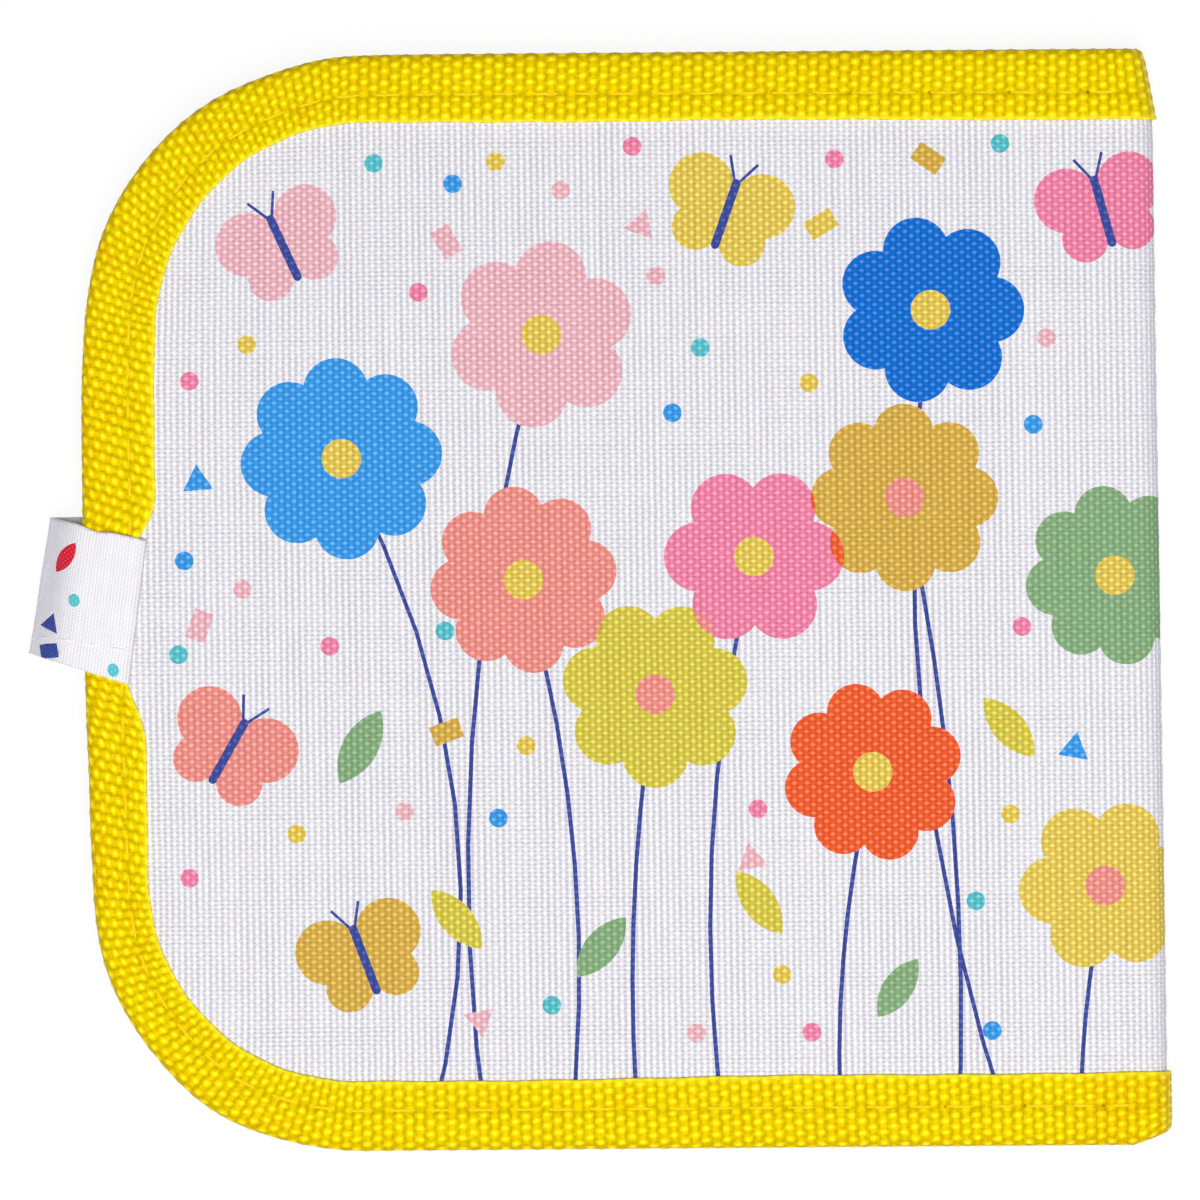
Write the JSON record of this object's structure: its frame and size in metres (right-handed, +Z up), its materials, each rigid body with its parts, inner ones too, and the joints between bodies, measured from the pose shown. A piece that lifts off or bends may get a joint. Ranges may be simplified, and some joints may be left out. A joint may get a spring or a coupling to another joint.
{
  "type": "wipe-clean book",
  "caption": "Soft wipe-clean book, closed: printed white canvas cover with flowers and butterflies, yellow woven binding with two round corners, side loop, white vinyl pages.",
  "frame": {"origin": "middle of the closed book's outline on the table, the side loop included", "axes": "+X from the fore-edge to the spine, +Y along the spine, +Z up out of the upper cover"},
  "size_m": [0.1584, 0.152, 0.0087],
  "materials": {
    "binding_tape": "woven polyester tape, bright yellow, slight sheen",
    "cover_canvas": "white printed polyester canvas, coarse plain weave, matte",
    "lining_vinyl": "wipe-clean white vinyl, smooth",
    "page_vinyl": "wipe-clean white vinyl leaves, smooth",
    "seam_thread": "yellow polyester thread",
    "spine_thread": "white polyester thread",
    "ink_blue": "dye printed into the canvas, blue",
    "ink_deep_blue": "dye printed into the canvas, deep blue",
    "ink_teal": "dye printed into the canvas, teal",
    "ink_coral": "dye printed into the canvas, coral",
    "ink_pink": "dye printed into the canvas, pink",
    "ink_rose": "dye printed into the canvas, rose",
    "ink_orange": "dye printed into the canvas, orange",
    "ink_mustard": "dye printed into the canvas, mustard",
    "ink_lime": "dye printed into the canvas, lime",
    "ink_sage": "dye printed into the canvas, sage",
    "ink_yellow": "dye printed into the canvas, yellow",
    "ink_navy": "dye printed into the canvas, navy"
  },
  "bodies": {
    "back_cover": {"back_binding": "binding_tape", "back_canvas": "cover_canvas", "back_lining": "lining_vinyl", "back_seam": "seam_thread", "back_print_blue": "ink_blue", "back_print_coral": "ink_coral", "back_print_pink": "ink_pink", "back_print_mustard": "ink_mustard", "back_print_lime": "ink_lime", "back_print_sage": "ink_sage", "back_print_yellow": "ink_yellow", "back_print_navy": "ink_navy", "pages": "page_vinyl", "spine_seam": "spine_thread"},
    "front_cover": {"front_binding": "binding_tape", "front_canvas": "cover_canvas", "front_lining": "lining_vinyl", "front_seam": "seam_thread", "front_print_blue": "ink_blue", "front_print_deep_blue": "ink_deep_blue", "front_print_teal": "ink_teal", "front_print_coral": "ink_coral", "front_print_pink": "ink_pink", "front_print_rose": "ink_rose", "front_print_orange": "ink_orange", "front_print_mustard": "ink_mustard", "front_print_lime": "ink_lime", "front_print_sage": "ink_sage", "front_print_yellow": "ink_yellow", "front_print_navy": "ink_navy", "side_loop": "cover_canvas", "loop_print_coral": "ink_coral", "loop_print_teal": "ink_teal", "loop_print_navy": "ink_navy"}
  },
  "joints": [
    {"name": "front_cover_hinge", "type": "hinge", "parent": "back_cover", "child": "front_cover", "pos_m": [0.07916, 0, 0.004], "axis": [0, 1, 0], "range_deg": [0, 180]}
  ]
}
